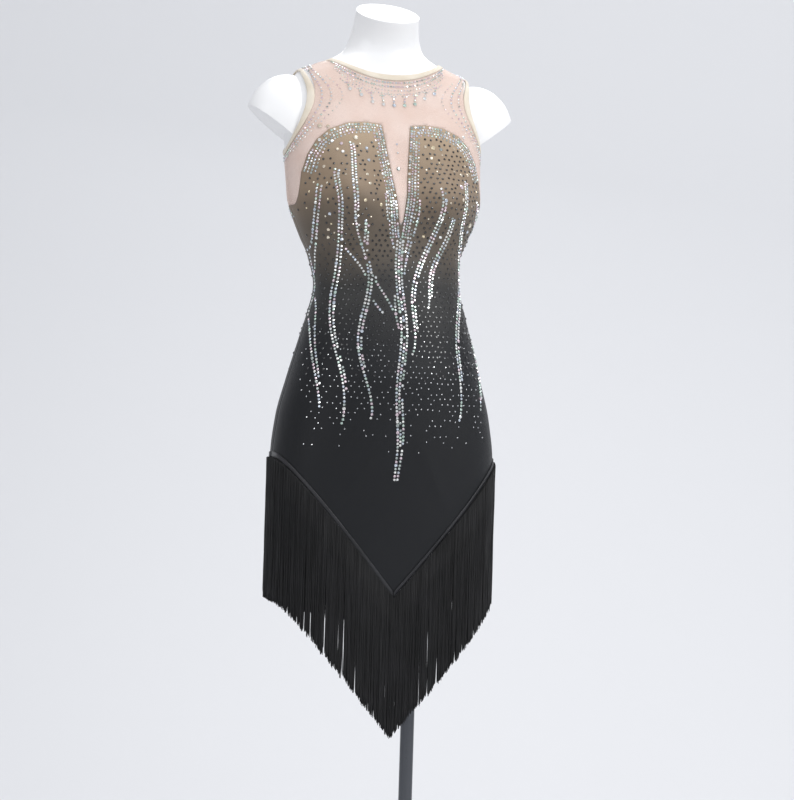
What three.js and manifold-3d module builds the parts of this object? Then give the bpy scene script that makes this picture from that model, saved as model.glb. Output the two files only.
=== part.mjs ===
// A fringed salsa dance dress on a limbless dress form with a pole and a round base.
// Millimetres, +Z up. The dress faces -Y; the origin is under the base, on the pole's axis.
import * as THREE from 'three';
import { mergeVertices } from 'three/addons/utils/BufferGeometryUtils.js';
import Module from 'manifold-3d';

const wasm = await Module();
wasm.setup();

// ---------- driving dimensions ----------
const seamGap = 0.3;
const trunk = { x: -50, y: 20 };

// Horizontal sections of the worn dress: half width, how far the widest line sits back (+Y),
// depth in front of it and behind it, and squareness (2 is an ellipse).
const sections = [
  { z: 500, width: 184, back: -6, front: 72, rear: 112, power: 2.2 },
  { z: 620, width: 183, back: -6, front: 86, rear: 116, power: 2.2 },
  { z: 735, width: 182, back: -4, front: 101, rear: 120, power: 2.2 },
  { z: 800, width: 174, back: -1, front: 108, rear: 124, power: 2.2 },
  { z: 861, width: 158, back: 0, front: 110, rear: 116, power: 2.2 },
  { z: 925, width: 140, back: -2, front: 97, rear: 102, power: 2.2 },
  { z: 965, width: 129, back: -4, front: 84, rear: 92, power: 2.2 },
  { z: 1010, width: 119, back: 0, front: 77, rear: 84, power: 2.2 },
  { z: 1053, width: 123, back: 18, front: 85, rear: 84, power: 2.25 },
  { z: 1088, width: 137, back: 26, front: 90, rear: 86, power: 2.3 },
  { z: 1117, width: 149, back: 27, front: 90, rear: 88, power: 2.3 },
  { z: 1150, width: 159, back: 28, front: 86, rear: 92, power: 2.3 },
  { z: 1185, width: 161, back: 34, front: 80, rear: 92, power: 2.3 },
  { z: 1240, width: 164, back: 45, front: 78, rear: 86, power: 2.3 },
  { z: 1270, width: 165, back: 50, front: 73, rear: 82, power: 2.3 },
  { z: 1300, width: 163, back: 54, front: 66, rear: 76, power: 2.3 },
  { z: 1334, width: 155, back: 57, front: 58, rear: 67, power: 2.3 },
  { z: 1353, width: 143, back: 58, front: 53, rear: 61, power: 2.2 },
  { z: 1365, width: 117, back: 58, front: 51, rear: 58, power: 2.1 },
  { z: 1377, width: 90, back: 57, front: 49, rear: 55, power: 2.05 },
  { z: 1391, width: 69, back: 55, front: 46, rear: 52, power: 2.0 },
  { z: 1406, width: 61, back: 51, front: 45, rear: 50, power: 2.0 },
  { z: 1422, width: 57, back: 46, front: 46, rear: 50, power: 2.0 },
  { z: 1445, width: 54, back: 38, front: 47, rear: 50, power: 2.0 },
  { z: 1480, width: 53, back: 28, front: 48, rear: 50, power: 2.0 },
];
const bust = { x: 80, z: 1150, depth: 42, spread: 50, above: 62, below: 42 };

const wall = { inner: -1.3, outer: 0 };
const bindingWall = { inner: -1.3, outer: 0.9 };
const headerWall = { inner: 0.3, outer: 2.0 };
const fringeWall = { inner: 1.5, outer: 5.5 };
const formLift = -3.0;

const hem = { frontTip: 519, side: 735, backTip: 690, halfWidth: 182 };
const header = { height: 9 };
const fringe = { length: 220, columns: 12, rows: 3 };

const neck = { front: 1350, point: 1375, rear: 1366, halfWidth: 90, flare: 2.2, band: 9, bandAtPoint: 4.5, seamY: 58 };
const armhole = { y: 56, z: 1276, front: 44, rear: 43, up: 77, down: 54, band: 6, bandOnTop: 3.5, reach: 60 };
const keyhole = { top: 1380, widest: 1306, bottom: 1282, halfWidth: 12, slit: 0.6, band: 5 };
const button = { radius: 5, height: 3.2, z: 1361, lift: 1.3 };

const form = {
  seat: 790, bottom: 620, tuck: 0.7,
  neckFoot: 1400, neckTop: 1453, neckTilt: 0.45, neckY: 38,
};
const cap = { x: 158, y: 56, z: 1270, rx: 68, ry: 38, rz: 75, cutX: 145, cutZ: 1248, cutSlope: 0.75 };
const pole = { radius: 11 };
const flange = { radius: 36, height: 10 };
const base = { radius: 180, height: 6, bevel: 1.5, hubRadius: 30, hubHeight: 26, hubTop: 15 };

// Heights of the rings, closer together where the form curves most.
const ringBands = [
  { from: 505, to: 905, steps: 10 },
  { from: 905, to: 1105, steps: 7 },
  { from: 1105, to: 1325, steps: 9 },
  { from: 1325, to: 1385, steps: 6 },
];
const neckBand = { from: 1385, to: 1453, steps: 5 };
const columnsHalf = 18;

// ---------- materials ----------
const finish = (color, roughness, metalness = 0) => ({ color, roughness, metalness });
const finishes = {
  mesh: finish(0xe9d6c8, 0.7),
  ombre: finish(0x5a5048, 0.55),
  black: finish(0x0c0d10, 0.6),
  binding: finish(0xe6dccb, 0.6),
  form: finish(0xf4f4f2, 0.3),
  pole: finish(0x3c3e42, 0.25, 1),
  base: finish(0x8d9094, 0.3, 1),
};

const model = new THREE.Group();

function addMesh(name, geometry, look) {
  const material = new THREE.MeshStandardMaterial(finishes[look]);
  const mesh = new THREE.Mesh(geometry, material);
  mesh.name = name;
  model.add(mesh);
  return mesh;
}

// ---------- the body surface ----------
const sectionKeys = ['width', 'back', 'front', 'rear', 'power'];

function slopeAt(index, key) {
  const rise = (i) => (sections[i + 1][key] - sections[i][key]) / (sections[i + 1].z - sections[i].z);
  if (index === 0) return rise(0);
  if (index === sections.length - 1) return rise(index - 1);
  const before = rise(index - 1);
  const after = rise(index);
  return before * after > 0 ? (2 * before * after) / (before + after) : 0;
}

function sectionAt(z) {
  let i = sections.findIndex((section) => section.z > z) - 1;
  if (i < 0) i = z < sections[0].z ? 0 : sections.length - 2;
  const low = sections[i];
  const high = sections[i + 1];
  const step = high.z - low.z;
  const t = THREE.MathUtils.clamp((z - low.z) / step, 0, 1);
  const section = {};
  for (const key of sectionKeys) {
    section[key] =
      (2 * t ** 3 - 3 * t ** 2 + 1) * low[key] +
      (t ** 3 - 2 * t ** 2 + t) * step * slopeAt(i, key) +
      (3 * t ** 2 - 2 * t ** 3) * high[key] +
      (t ** 3 - t ** 2) * step * slopeAt(i + 1, key);
  }
  return section;
}

// angle 0 is centre front, +90 degrees is the dress's left side (+X), 180 is centre back.
function skin(angle, z) {
  const s = sectionAt(z);
  const sine = Math.sin(angle);
  const cosine = Math.cos(angle);
  const bend = 2 / s.power;
  const x = s.width * Math.sign(sine) * Math.abs(sine) ** bend;
  const depth = cosine >= 0 ? s.front : s.rear;
  let y = s.back - depth * Math.sign(cosine) * Math.abs(cosine) ** bend;
  if (cosine > 0) {
    const away = z - bust.z;
    const reach = away > 0 ? bust.above : bust.below;
    const level = Math.exp(-((away / reach) ** 2));
    const left = Math.exp(-(((x - bust.x) / bust.spread) ** 2));
    const right = Math.exp(-(((x + bust.x) / bust.spread) ** 2));
    y -= bust.depth * level * (left + right) * Math.sqrt(cosine);
  }
  return new THREE.Vector3(x, y, z);
}

function skinNormal(angle, z) {
  const around = skin(angle + 0.02, z).sub(skin(angle - 0.02, z));
  const upward = skin(angle, z + 2).sub(skin(angle, z - 2));
  return around.cross(upward).normalize();
}

const lifted = (angle, z, lift) => skin(angle, z).addScaledVector(skinNormal(angle, z), lift);

// The angle at which the ring at this height reaches x.
function angleOf(x, z) {
  const s = sectionAt(z);
  const ratio = Math.min(Math.abs(x) / s.width, 1);
  return Math.sign(x) * Math.asin(ratio ** (s.power / 2));
}

function heights(bands) {
  const list = [bands[0].from];
  for (const { from, to, steps } of bands) {
    for (let i = 1; i <= steps; i += 1) list.push(from + ((to - from) * i) / steps);
  }
  return list;
}

const rings = heights(ringBands);

// ---------- closed solids from grids ----------
function geometryFrom(points, faces) {
  const geometry = new THREE.BufferGeometry();
  geometry.setAttribute('position', new THREE.Float32BufferAttribute(points.flatMap((p) => [p.x, p.y, p.z]), 3));
  geometry.setIndex(faces);
  return geometry;
}

// A thin wall between two grids of points, given as outer[row][column] and inner[row][column].
// Columns run with increasing angle and rows upward.
function wallGeometry(outer, inner, closed = false) {
  const rowCount = outer.length;
  const columnCount = outer[0].length;
  const points = [...outer.flat(), ...inner.flat()];
  const shift = rowCount * columnCount;
  const at = (row, column) => row * columnCount + (column % columnCount);
  const faces = [];
  const quad = (a, b, c, d) => faces.push(a, b, c, a, c, d);
  const lastColumn = closed ? columnCount : columnCount - 1;
  for (let row = 0; row < rowCount - 1; row += 1) {
    for (let column = 0; column < lastColumn; column += 1) {
      const [a, b, c, d] = [at(row, column), at(row, column + 1), at(row + 1, column + 1), at(row + 1, column)];
      quad(a, b, c, d);
      faces.push(a + shift, c + shift, b + shift, a + shift, d + shift, c + shift);
    }
    if (!closed) {
      const end = columnCount - 1;
      quad(at(row, 0) + shift, at(row, 0), at(row + 1, 0), at(row + 1, 0) + shift);
      quad(at(row, end), at(row, end) + shift, at(row + 1, end) + shift, at(row + 1, end));
    }
  }
  const top = rowCount - 1;
  for (let column = 0; column < lastColumn; column += 1) {
    quad(at(0, column + 1), at(0, column), at(0, column) + shift, at(0, column + 1) + shift);
    quad(at(top, column), at(top, column + 1), at(top, column + 1) + shift, at(top, column) + shift);
  }
  return geometryFrom(points, faces);
}

const turns = (from, to, steps) =>
  Array.from({ length: steps + 1 }, (_, i) => THREE.MathUtils.degToRad(from + ((to - from) * i) / steps));

// A half of the dress: side 1 is the front and -1 the back. The side edges stop half a seam gap short.
function halfWall({ inner, outer }, side) {
  const angles = side > 0 ? turns(-90, 90, columnsHalf) : turns(90, 270, columnsHalf);
  const grid = (lift) =>
    rings.map((z) =>
      angles.map((angle, i) => {
        const point = lifted(angle, z, lift);
        if (i === 0 || i === columnsHalf) point.y -= (side * seamGap) / 2;
        return point;
      }),
    );
  return toSolid(wallGeometry(grid(outer), grid(inner)));
}

function ringWall({ inner, outer }, from, to) {
  const angles = turns(-90, 270, columnsHalf * 2).slice(0, -1);
  const levels = rings.filter((z) => z >= from && z <= to);
  const grid = (lift) => levels.map((z) => angles.map((angle) => lifted(angle, z, lift)));
  return toSolid(wallGeometry(grid(outer), grid(inner), true));
}

// ---------- joining and cutting ----------
function toSolid(geometry) {
  const bare = geometry.index ? geometry : mergeVertices(stripped(geometry));
  return new wasm.Manifold(
    new wasm.Mesh({
      numProp: 3,
      vertProperties: new Float32Array(bare.attributes.position.array),
      triVerts: new Uint32Array(bare.index.array),
    }),
  );
}

function stripped(geometry) {
  const copy = geometry.clone();
  copy.deleteAttribute('normal');
  copy.deleteAttribute('uv');
  return copy;
}

function toGeometry(solid) {
  const mesh = solid.getMesh();
  const geometry = new THREE.BufferGeometry();
  geometry.setAttribute('position', new THREE.BufferAttribute(new Float32Array(mesh.vertProperties), 3));
  geometry.setIndex(new THREE.BufferAttribute(new Uint32Array(mesh.triVerts), 1));
  return geometry;
}

const cutterDepth = 900;

function prism(outline) {
  const shape = new THREE.Shape(outline.map(([across, up]) => new THREE.Vector2(across, up)));
  const geometry = new THREE.ExtrudeGeometry(shape, { depth: cutterDepth, bevelEnabled: false });
  geometry.deleteAttribute('normal');
  geometry.deleteAttribute('uv');
  return mergeVertices(geometry);
}

// Outline in front view (x, z), cut straight through from front to back.
function throughFront(outline) {
  return toSolid(prism(outline).rotateX(Math.PI / 2).translate(0, cutterDepth / 2, 0));
}

// Outline in side view (y, z), cut outward from the shoulder on the left (1) or the right (-1).
function throughSide(outline, side) {
  const start = side > 0 ? armhole.reach : -armhole.reach - cutterDepth;
  return toSolid(prism(outline).rotateX(Math.PI / 2).rotateZ(Math.PI / 2).translate(start, 0, 0));
}

// All space in front of (1) or behind (-1) the shoulder seam.
function halfSpace(side) {
  const block = new THREE.BoxGeometry(cutterDepth, cutterDepth, cutterDepth);
  const y = neck.seamY - (side * cutterDepth) / 2;
  return toSolid(mergeVertices(stripped(block).translate(0, y, neck.point)));
}

const steps = (count) => Array.from({ length: count + 1 }, (_, i) => i / count);
const mirrored = (half) => [...half, ...half.filter(([x]) => x > 0).reverse().map(([x, z]) => [-x, z])];

// ---------- outlines ----------
const outside = 260;

// Cup tops on one side, from the V notch's tip over the inner corner to the side seam.
const cupEdge = [
  { x: 0, z: 1088 }, { x: 23.4, z: 1267 }, { x: 50, z: 1270 }, { x: 80, z: 1267 }, { x: 108, z: 1256 },
  { x: 128, z: 1238 }, { x: 141, z: 1214 }, { x: 149, z: 1186 }, { x: 152, z: 1158 }, { x: 154, z: 1135 },
];
const scoop = { centre: 1015, side: 1135, halfWidth: 150 };

const frontHemAt = (x) => hem.frontTip + (hem.side - hem.frontTip) * (Math.abs(x) / hem.halfWidth);
const backHemAt = (x) => hem.backTip + (hem.side - hem.backTip) * (Math.abs(x) / hem.halfWidth) ** 2;

function neckAt(x, side) {
  const ratio = Math.min(Math.abs(x) / neck.halfWidth, 1);
  if (side > 0) return neck.front + (neck.point - neck.front) * ratio ** neck.flare;
  return neck.rear + (neck.point - neck.rear) * ratio ** 2;
}

function neckBandAt(x, side) {
  const ratio = Math.min(Math.abs(x) / neck.halfWidth, 1);
  return neckAt(x, side) - (neck.band + (neck.bandAtPoint - neck.band) * ratio ** 2);
}

// Everything above the neckline, or above the lower edge of its binding, let down by drop.
function aboveNeck(edgeAt, side, drop = 0) {
  const half = steps(10).map((t) => [neck.halfWidth * t, edgeAt(neck.halfWidth * t, side) - drop]);
  half.push([outside, edgeAt(neck.halfWidth, side) - drop], [outside, 1600]);
  return throughFront(mirrored(half));
}

function frontBodyOutline(gap) {
  const upper = cupEdge.map(({ x, z }, i) => [x === 0 ? 0 : x + gap, i < 2 ? z + gap * 2 : z + gap]);
  upper[1][0] = cupEdge[1].x - gap;
  upper.push([outside, scoop.side + gap], [outside, frontHemAt(outside)], [0, frontHemAt(0)]);
  return throughFront(mirrored(upper));
}

function backBodyOutline(gap) {
  const upper = steps(8).map((t) => {
    const z = scoop.centre + (scoop.side - scoop.centre) * (1 - Math.cos(Math.PI * t)) / 2;
    return [scoop.halfWidth * t, z + gap];
  });
  upper.push([outside, scoop.side + gap], [outside, 640]);
  return throughFront(mirrored(upper));
}

// Everything below a hem line that is let up or down by rise.
function belowHem(hemAt, rise) {
  const half = steps(8).map((t) => [hem.halfWidth * 1.1 * t, hemAt(hem.halfWidth * 1.1 * t) + rise]);
  half.push([outside, hemAt(hem.halfWidth * 1.1) + rise], [outside, 300]);
  return throughFront(mirrored(half));
}

function armholeOutline(grow) {
  return steps(28).slice(1).map((t) => {
    const turn = 2 * Math.PI * t;
    const c = Math.cos(turn);
    const s = Math.sin(turn);
    const across = (c > 0 ? armhole.rear : armhole.front) + grow;
    const growUp = grow * (s > 0 ? armhole.bandOnTop / armhole.band : 1);
    return [armhole.y + across * c, armhole.z + ((s > 0 ? armhole.up : armhole.down) + growUp) * s];
  });
}

function keyholeOutline(grow) {
  const half = [
    [keyhole.slit + grow, keyhole.top],
    [keyhole.slit + grow, neck.rear - neck.band - 2],
  ];
  for (const t of steps(6)) {
    const turn = (Math.PI / 180) * (35 - 125 * t);
    const radius = keyhole.halfWidth + grow;
    const depth = keyhole.widest - keyhole.bottom + grow;
    half.push([Math.max(radius * Math.cos(turn), 0), keyhole.widest + depth * Math.sin(turn)]);
  }
  return throughFront(mirrored(half));
}

// ---------- cloth panels ----------
const clothFront = halfWall(wall, 1);
const clothBack = halfWall(wall, -1);
const armholeBands = [1, -1].map((side) => throughSide(armholeOutline(armhole.band + seamGap), side));

function buildPanels() {
  const frontBody = clothFront.intersect(frontBodyOutline(0)).subtract(belowHem(frontHemAt, 0));
  addMesh('front_body', toGeometry(frontBody), 'ombre');

  const backBody = clothBack.intersect(backBodyOutline(0)).subtract(belowHem(backHemAt, 0));
  addMesh('back_body', toGeometry(backBody), 'ombre');

  const frontYoke = clothFront
    .subtract(frontBodyOutline(seamGap))
    .subtract(belowHem(() => 1080, 0))
    .subtract(aboveNeck(neckBandAt, 1, seamGap))
    .subtract(armholeBands[0])
    .subtract(armholeBands[1]);
  addMesh('front_yoke', toGeometry(frontYoke), 'mesh');

  const backYoke = clothBack
    .subtract(backBodyOutline(seamGap))
    .subtract(belowHem(() => 980, 0))
    .subtract(aboveNeck(neckBandAt, -1, seamGap))
    .subtract(armholeBands[0])
    .subtract(armholeBands[1])
    .subtract(keyholeOutline(keyhole.band + seamGap));
  addMesh('back_yoke', toGeometry(backYoke), 'mesh');
}

// ---------- bindings and button ----------
function buildNeckBinding() {
  const back = halfSpace(-1);
  const front = halfSpace(1);
  const band = ringWall(bindingWall, 1325, 1385);
  const frontBand = band.intersect(front).intersect(aboveNeck(neckBandAt, 1)).subtract(aboveNeck(neckAt, 1));
  const backBand = band.intersect(back).intersect(aboveNeck(neckBandAt, -1)).subtract(aboveNeck(neckAt, -1));
  const slit = throughFront([[-keyhole.slit, 1300], [keyhole.slit, 1300], [keyhole.slit, 1500], [-keyhole.slit, 1500]]);
  addMesh('neck_binding', toGeometry(frontBand.add(backBand.subtract(slit.intersect(back)))), 'binding');
}

function buildArmholeBindings() {
  const names = ['armhole_binding_left', 'armhole_binding_right'];
  const band = ringWall(bindingWall, 1185, 1385);
  [1, -1].forEach((side, i) => {
    const ring = band
      .intersect(throughSide(armholeOutline(armhole.band), side))
      .subtract(throughSide(armholeOutline(0), side));
    addMesh(names[i], toGeometry(ring), 'binding');
  });
}

function buildKeyholeBinding() {
  const band = halfWall(bindingWall, -1)
    .intersect(keyholeOutline(keyhole.band))
    .subtract(keyholeOutline(0))
    .subtract(aboveNeck(neckBandAt, -1, seamGap));
  addMesh('keyhole_binding', toGeometry(band), 'binding');
}

function buildButton() {
  const arc = steps(6).map((t) => {
    const turn = (Math.PI / 2) * t;
    return new THREE.Vector2(button.radius * Math.cos(turn), button.height * Math.sin(turn));
  });
  const profile = [new THREE.Vector2(0, 0), ...arc.slice(0, -1), new THREE.Vector2(0, button.height)];
  const dome = new THREE.LatheGeometry(profile, 20);
  const seat = lifted(Math.PI, button.z, button.lift);
  const mesh = addMesh('neck_button', dome, 'binding');
  mesh.position.copy(seat);
  mesh.quaternion.setFromUnitVectors(new THREE.Vector3(0, 1, 0), skinNormal(Math.PI, button.z));
}

// ---------- fringe ----------
function buildHeaders() {
  const edges = [
    { name: 'front_header', side: 1, hemAt: frontHemAt },
    { name: 'back_header', side: -1, hemAt: backHemAt },
  ];
  for (const { name, side, hemAt } of edges) {
    const band = halfWall(headerWall, side)
      .intersect(belowHem(hemAt, header.height))
      .subtract(belowHem(hemAt, 0));
    for (const [suffix, sign] of [['left', 1], ['right', -1]]) {
      const start = (sign * seamGap) / 2;
      const half = throughFront(
        sign > 0
          ? [[start, 300], [outside, 300], [outside, 900], [start, 900]]
          : [[-outside, 300], [start, 300], [start, 900], [-outside, 900]],
      );
      addMesh(`${name}_${suffix}`, toGeometry(band.intersect(half)), 'black');
    }
  }
}

// A curtain that hangs straight down from the hem line, one for each quarter of the hem.
function fringeGeometry(side, sign, hemAt) {
  const columns = steps(fringe.columns).map((t) => {
    const x = hem.halfWidth * t;
    const z = hemAt(x);
    const reached = t === 1 ? Math.PI / 2 : angleOf(x, z);
    const angle = sign * (side > 0 ? reached : Math.PI - reached);
    const flat = skinNormal(angle, z).setZ(0).normalize();
    const top = skin(angle, z);
    if (t === 0) top.x += (sign * seamGap) / 2;
    if (t === 1) top.y -= (side * seamGap) / 2;
    return { top, flat };
  });
  if (side * sign < 0) columns.reverse();
  const grid = (lift) =>
    steps(fringe.rows).map((t) =>
      columns.map(({ top, flat }) => {
        const point = top.clone().addScaledVector(flat, lift);
        point.z += -seamGap - fringe.length * (1 - t);
        return point;
      }),
    );
  return wallGeometry(grid(fringeWall.outer), grid(fringeWall.inner));
}

function buildFringes() {
  for (const [sign, suffix] of [[1, 'left'], [-1, 'right']]) {
    addMesh(`front_fringe_${suffix}`, fringeGeometry(1, sign, frontHemAt), 'black');
    addMesh(`back_fringe_${suffix}`, fringeGeometry(-1, sign, backHemAt), 'black');
  }
}

// ---------- the form and its stand ----------
function formPoint(angle, z) {
  const point = lifted(angle, z, formLift);
  if (z < form.seat) {
    const t = (form.seat - z) / (form.seat - form.bottom);
    const scale = Math.sqrt(1 - form.tuck * t * t);
    point.x *= scale;
    point.y *= scale;
    point.z = z;
  }
  if (z > form.neckFoot) {
    const share = (z - form.neckFoot) / (form.neckTop - form.neckFoot);
    point.z = z + share * form.neckTilt * (point.y - form.neckY);
  }
  return point;
}

function buildForm() {
  const angles = turns(-90, 270, columnsHalf * 2).slice(0, -1);
  const levels = [form.bottom, ...rings.filter((z) => z > form.bottom + 10), ...heights([neckBand]).slice(1)];
  const points = levels.flatMap((z) => angles.map((angle) => formPoint(angle, z)));
  const count = angles.length;
  const faces = [];
  for (let row = 0; row < levels.length - 1; row += 1) {
    for (let column = 0; column < count; column += 1) {
      const next = (column + 1) % count;
      const [a, b] = [row * count + column, row * count + next];
      faces.push(a, b, b + count, a, b + count, a + count);
    }
  }
  const lastRow = (levels.length - 1) * count;
  for (let column = 1; column < count - 1; column += 1) {
    faces.push(0, column + 1, column);
    faces.push(lastRow, lastRow + column, lastRow + column + 1);
  }
  let solid = toSolid(geometryFrom(points, faces));
  for (const side of [1, -1]) {
    const dome = toSolid(mergeVertices(stripped(new THREE.SphereGeometry(1, 24, 16))
      .rotateX(Math.PI / 2).scale(cap.rx, cap.ry, cap.rz).translate(side * cap.x, cap.y, cap.z)));
    const below = [
      [cap.cutX - 100, cap.cutZ - 100 * cap.cutSlope],
      [cap.cutX + 150, cap.cutZ + 150 * cap.cutSlope],
      [cap.cutX + 150, 900],
      [cap.cutX - 100, 900],
    ].map(([x, z]) => [side * x, z]);
    const outward = throughSide([[-200, 1000], [300, 1000], [300, 1500], [-200, 1500]], side);
    solid = solid.add(dome.subtract(throughFront(below)).intersect(outward));
  }
  addMesh('dress_form', toGeometry(solid), 'form');
}

function buildStand() {
  const round = (pairs, segments) =>
    new THREE.LatheGeometry(pairs.map(([radius, up]) => new THREE.Vector2(radius, up)), segments)
      .rotateX(Math.PI / 2);
  const plateTop = base.height;
  const flangeTop = form.bottom - seamGap;
  addMesh('base_plate', round([
    [0, 0], [base.radius, 0], [base.radius, base.height - base.bevel],
    [base.radius - base.bevel, base.height], [0, base.height],
  ], 64), 'base');
  const bore = pole.radius + seamGap;
  addMesh('base_hub', round([
    [bore, plateTop + seamGap], [base.hubRadius, plateTop + seamGap], [base.hubTop, plateTop + base.hubHeight],
    [bore, plateTop + base.hubHeight], [bore, plateTop + seamGap],
  ], 32), 'base');
  const poleTop = flangeTop - flange.height - seamGap;
  addMesh('pole', round([
    [0, plateTop + seamGap], [pole.radius, plateTop + seamGap], [pole.radius, poleTop], [0, poleTop],
  ], 24), 'pole');
  addMesh('form_flange', round([
    [0, flangeTop - flange.height], [flange.radius, flangeTop - flange.height], [flange.radius, flangeTop],
    [0, flangeTop],
  ], 32), 'pole');
}

buildPanels();
buildNeckBinding();
buildArmholeBindings();
buildKeyholeBinding();
buildButton();
buildHeaders();
buildFringes();
buildForm();
for (const mesh of model.children) mesh.position.add(new THREE.Vector3(trunk.x, trunk.y, 0));
buildStand();

export default model;
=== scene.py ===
import bpy, bmesh, math, random
import numpy as np
from mathutils import Matrix, Vector


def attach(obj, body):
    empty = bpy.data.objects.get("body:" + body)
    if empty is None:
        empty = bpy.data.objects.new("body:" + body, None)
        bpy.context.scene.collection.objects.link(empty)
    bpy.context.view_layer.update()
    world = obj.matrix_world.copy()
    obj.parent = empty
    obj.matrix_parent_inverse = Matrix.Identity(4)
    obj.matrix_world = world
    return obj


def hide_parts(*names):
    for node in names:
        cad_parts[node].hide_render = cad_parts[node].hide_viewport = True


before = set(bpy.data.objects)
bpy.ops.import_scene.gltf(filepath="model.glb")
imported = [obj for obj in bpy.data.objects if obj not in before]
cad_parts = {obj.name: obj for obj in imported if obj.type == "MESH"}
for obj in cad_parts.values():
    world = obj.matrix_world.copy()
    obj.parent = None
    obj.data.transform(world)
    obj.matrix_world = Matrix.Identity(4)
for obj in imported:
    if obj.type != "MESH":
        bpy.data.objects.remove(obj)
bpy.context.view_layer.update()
bpy.ops.object.select_all(action='DESELECT')
dice = random.Random(7)
mm = 0.001

# ---- the worn shape: z, half width, set back, depth in front, depth behind, squareness ----
trunk = {"x": -50.0, "y": 20.0}
sections = np.array([
    (500, 184, -6, 72, 112, 2.2), (620, 183, -6, 86, 116, 2.2), (735, 182, -4, 101, 120, 2.2),
    (800, 174, -1, 108, 124, 2.2), (861, 158, 0, 110, 116, 2.2), (925, 140, -2, 97, 102, 2.2),
    (965, 129, -4, 84, 92, 2.2), (1010, 119, 0, 77, 84, 2.2), (1053, 123, 18, 85, 84, 2.25),
    (1088, 137, 26, 90, 86, 2.3), (1117, 149, 27, 90, 88, 2.3), (1150, 159, 28, 86, 92, 2.3),
    (1185, 161, 34, 80, 92, 2.3), (1240, 164, 45, 78, 86, 2.3), (1270, 165, 50, 73, 82, 2.3),
    (1300, 163, 54, 66, 76, 2.3), (1334, 155, 57, 58, 67, 2.3), (1353, 143, 58, 53, 61, 2.2),
    (1365, 117, 58, 51, 58, 2.1), (1377, 90, 57, 49, 55, 2.05), (1391, 69, 55, 46, 52, 2.0),
    (1406, 61, 51, 45, 50, 2.0), (1422, 57, 46, 46, 50, 2.0), (1445, 54, 38, 47, 50, 2.0),
    (1480, 53, 28, 48, 50, 2.0)], float)
bust = {"x": 80, "z": 1150, "depth": 42, "spread": 50, "above": 62, "below": 42}
hem = {"frontTip": 519, "side": 735, "backTip": 690, "halfWidth": 182}
neck = {"front": 1350, "point": 1375, "rear": 1366, "halfWidth": 90, "flare": 2.2,
        "band": 9, "bandAtPoint": 4.5}
armhole = {"y": 56, "z": 1276, "front": 44, "rear": 43, "up": 77, "down": 54, "band": 6}
keyhole = {"widest": 1306, "bottom": 1282, "halfWidth": 12, "slit": 0.6, "band": 5,
           "rise": 54.0, "bandRise": 48.0, "bandDrop": 24.0, "roundness": 0.8}
cupEdge = [(0, 1088), (23.4, 1267), (50, 1270), (80, 1267), (108, 1256),
           (128, 1238), (141, 1214), (149, 1186), (152, 1158), (154, 1135)]
scoop = {"centre": 1015, "side": 1135, "halfWidth": 150}


def sectionAt(z):
    z = np.asarray(z, float)
    zs, values = sections[:, 0], sections[:, 1:]
    i = np.clip(np.searchsorted(zs, z) - 1, 0, len(zs) - 2)
    rise = np.diff(values, axis=0) / np.diff(zs)[:, None]
    slope = np.empty_like(values)
    slope[0], slope[-1] = rise[0], rise[-1]
    before, after = rise[:-1], rise[1:]
    same = before * after > 0
    slope[1:-1] = np.where(same, 2 * before * after / np.where(same, before + after, 1), 0)
    step = (zs[i + 1] - zs[i])[..., None]
    t = np.clip((z - zs[i])[..., None] / step, 0, 1)
    return ((2 * t**3 - 3 * t**2 + 1) * values[i] + (t**3 - 2 * t**2 + t) * step * slope[i]
            + (3 * t**2 - 2 * t**3) * values[i + 1] + (t**3 - t**2) * step * slope[i + 1])


# angle 0 is centre front, +90 degrees the dress's left side, 180 centre back
def skin(angle, z):
    angle, z = np.broadcast_arrays(np.asarray(angle, float), np.asarray(z, float))
    width, back, front, rear, power = np.moveaxis(sectionAt(z), -1, 0)
    sine, cosine = np.sin(angle), np.cos(angle)
    bend = 2 / power
    x = width * np.sign(sine) * np.abs(sine) ** bend
    y = back - np.where(cosine >= 0, front, rear) * np.sign(cosine) * np.abs(cosine) ** bend
    away = z - bust["z"]
    level = np.exp(-(away / np.where(away > 0, bust["above"], bust["below"])) ** 2)
    cups = sum(np.exp(-((x - side * bust["x"]) / bust["spread"]) ** 2) for side in (-1, 1))
    y = y - bust["depth"] * level * cups * np.sqrt(np.clip(cosine, 0, 1))
    return np.stack([x, y, z], -1)


def skinNormal(angle, z):
    around = skin(np.add(angle, 0.02), z) - skin(np.subtract(angle, 0.02), z)
    upward = skin(angle, np.add(z, 2.0)) - skin(angle, np.subtract(z, 2.0))
    n = np.cross(around, upward)
    return n / np.linalg.norm(n, axis=-1, keepdims=True)


def lifted(angle, z, lift):
    return skin(angle, z) + skinNormal(angle, z) * np.asarray(lift, float)[..., None]


def angleOf(x, z, side=1):
    s = sectionAt(z)
    reached = np.sign(x) * np.arcsin(np.clip(np.abs(x) / s[..., 0], 0, 1) ** (s[..., 4] / 2))
    return reached if side > 0 else np.pi - reached


def toFrame(points):
    return (np.asarray(points) + np.array([trunk["x"], trunk["y"], 0])) * mm


def meshObject(name, points, faces, smooth=True):
    mesh = bpy.data.meshes.new(name)
    mesh.from_pydata([tuple(p) for p in toFrame(points)], [], faces)
    mesh.validate()
    mesh.polygons.foreach_set("use_smooth", [smooth] * len(mesh.polygons))
    piece = bpy.data.objects.new(name, mesh)
    bpy.context.collection.objects.link(piece)
    return piece


def applyModifiers(piece):
    bpy.ops.object.select_all(action='DESELECT')
    piece.select_set(True)
    bpy.context.view_layer.objects.active = piece
    for modifier in list(piece.modifiers):
        bpy.ops.object.modifier_apply(modifier=modifier.name)
    piece.select_set(False)


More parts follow.
